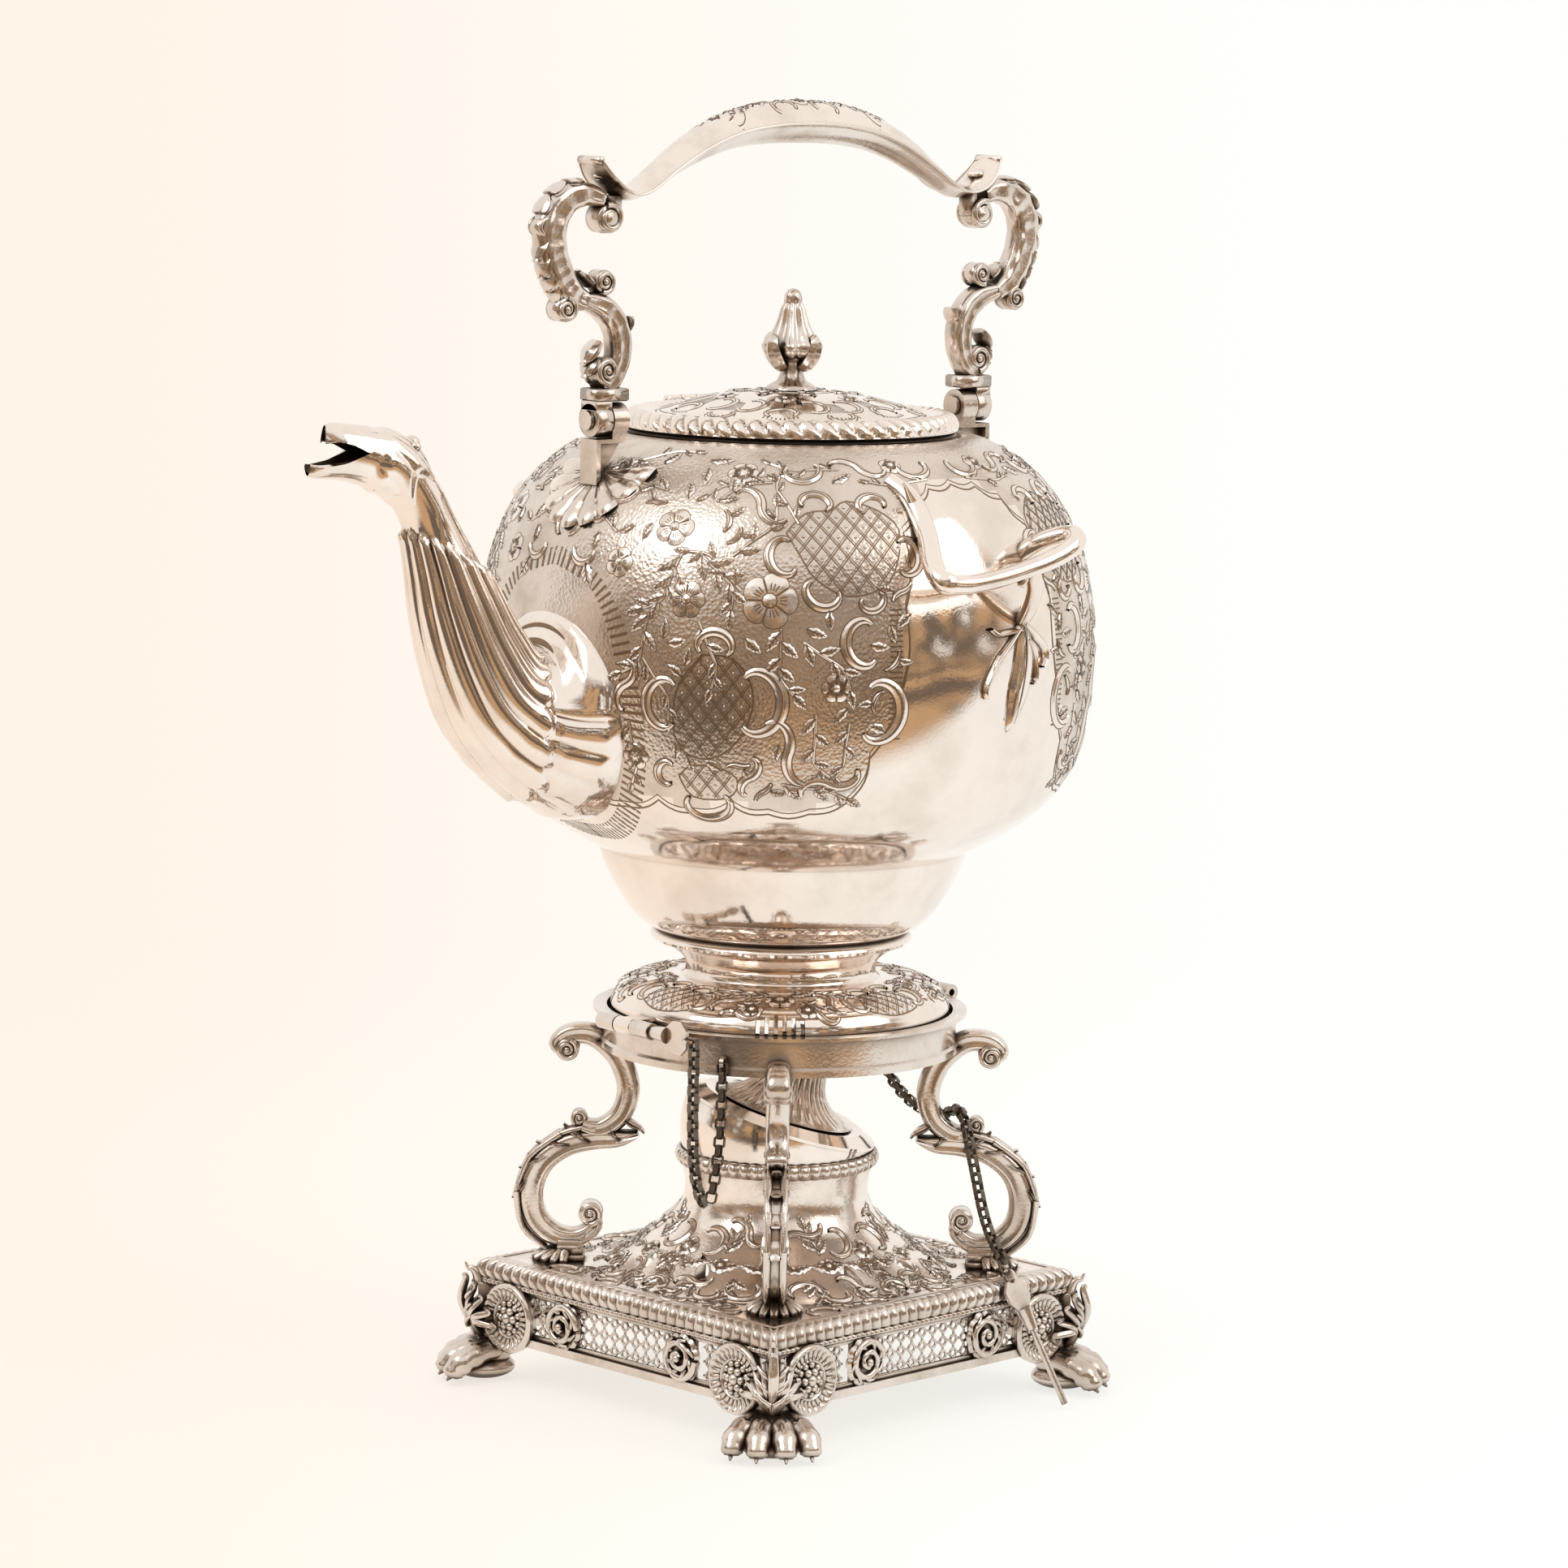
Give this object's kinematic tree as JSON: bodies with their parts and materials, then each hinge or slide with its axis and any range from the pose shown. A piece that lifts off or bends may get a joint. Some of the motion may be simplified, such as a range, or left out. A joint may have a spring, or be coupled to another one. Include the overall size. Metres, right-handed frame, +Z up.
{
  "type": "spirit kettle on stand",
  "caption": "Tea kettle with a hinged lid, swinging bail and spout, pinned by hinges to a footed stand that holds a spirit lamp",
  "frame": {"origin": "on the table under the kettle's vertical axis", "axes": "+Z up, spout along -X, lid hinge on the +Y side, bail in the XZ plane"},
  "size_m": [0.2805, 0.219, 0.4045],
  "materials": {
    "silver_plate": "polished silver plate on base metal, chased and cast ornament, dark patina in the recesses",
    "chain": "worn silver plate, darkly oxidised small links",
    "wick": "plain cotton wick"
  },
  "bodies": {
    "stand": {"base_plate": "silver_plate", "gadroon_border": "silver_plate", "lower_rail": "silver_plate", "lamp_collar": "silver_plate", "kettle_ring": "silver_plate", "rear_chain": "chain", "gallery_1": "silver_plate", "gallery_2": "silver_plate", "gallery_3": "silver_plate", "gallery_4": "silver_plate", "corner_leaf_1": "silver_plate", "corner_leaf_2": "silver_plate", "corner_leaf_3": "silver_plate", "corner_leaf_4": "silver_plate", "foot_1": "silver_plate", "foot_2": "silver_plate", "foot_3": "silver_plate", "foot_4": "silver_plate", "leg_1": "silver_plate", "leg_2": "silver_plate", "leg_3": "silver_plate", "leg_4": "silver_plate", "leg_shell_1": "silver_plate", "leg_shell_2": "silver_plate", "leg_shell_3": "silver_plate", "leg_shell_4": "silver_plate"},
    "kettle": {"kettle_body": "silver_plate", "kettle_foot": "silver_plate", "spout": "silver_plate", "side_handle_near": "silver_plate", "side_handle_far": "silver_plate", "bail_post_left": "silver_plate", "bail_post_right": "silver_plate", "post_shell_left": "silver_plate", "post_shell_right": "silver_plate", "bail_pin_left": "silver_plate", "bail_pin_right": "silver_plate", "lid_hinge_pin": "silver_plate"},
    "lid": {"lid": "silver_plate", "finial": "silver_plate", "finial_nut": "silver_plate"},
    "bail": {"bail_arm_left": "silver_plate", "bail_arm_right": "silver_plate", "grip": "silver_plate"},
    "front_pin": {"front_pin": "silver_plate"},
    "rear_pin": {"rear_pin": "silver_plate"},
    "pin_strand": {"front_chain_pin_side": "chain"},
    "ring_strand": {"front_chain_ring_side": "chain"},
    "lamp": {"lamp_bowl": "silver_plate", "lamp_cone": "silver_plate", "wick_tube": "silver_plate", "wick": "wick"}
  },
  "joints": [
    {"name": "kettle_tilt", "type": "hinge", "parent": "stand", "child": "kettle", "pos_m": [-0.0614, 0, 0.1214], "axis": [0, -1, 0], "range_deg": [0, 60]},
    {"name": "lid_open", "type": "hinge", "parent": "kettle", "child": "lid", "pos_m": [0, 0.0515, 0.309], "axis": [-1, 0, 0], "range_deg": [0, 50]},
    {"name": "bail_swing", "type": "hinge", "parent": "kettle", "child": "bail", "pos_m": [0, 0, 0.3087], "axis": [1, 0, 0], "range_deg": [-85, 85]},
    {"name": "front_pin_pull", "type": "slide", "parent": "stand", "child": "front_pin", "axis": [0, -1, 0], "range_m": [0, 0.03]},
    {"name": "pin_strand_swing", "type": "hinge", "parent": "front_pin", "child": "pin_strand", "pos_m": [-0.0614, -0.033, 0.1214], "axis": [1, 0, 0], "range_deg": [0, 20.4]},
    {"name": "ring_strand_swing", "type": "hinge", "parent": "stand", "child": "ring_strand", "pos_m": [-0.04915, -0.03192, 0.1135], "axis": [-1, 0, 0], "range_deg": [0, 18.1]},
    {"name": "rear_pin_swing", "type": "hinge", "parent": "stand", "child": "rear_pin", "pos_m": [0.04195, -0.06325, 0.04244], "axis": [-0.9962, -0.0872, 0], "range_deg": [0, 25]},
    {"name": "burner_lift", "type": "slide", "parent": "stand", "child": "lamp", "axis": [0, 0, 1], "range_m": [0, 0.015]}
  ],
  "couplings": [
    {"joint": "pin_strand_swing", "follows": "front_pin_pull", "rad_per_m": 11.856},
    {"joint": "ring_strand_swing", "follows": "front_pin_pull", "rad_per_m": 10.52}
  ]
}
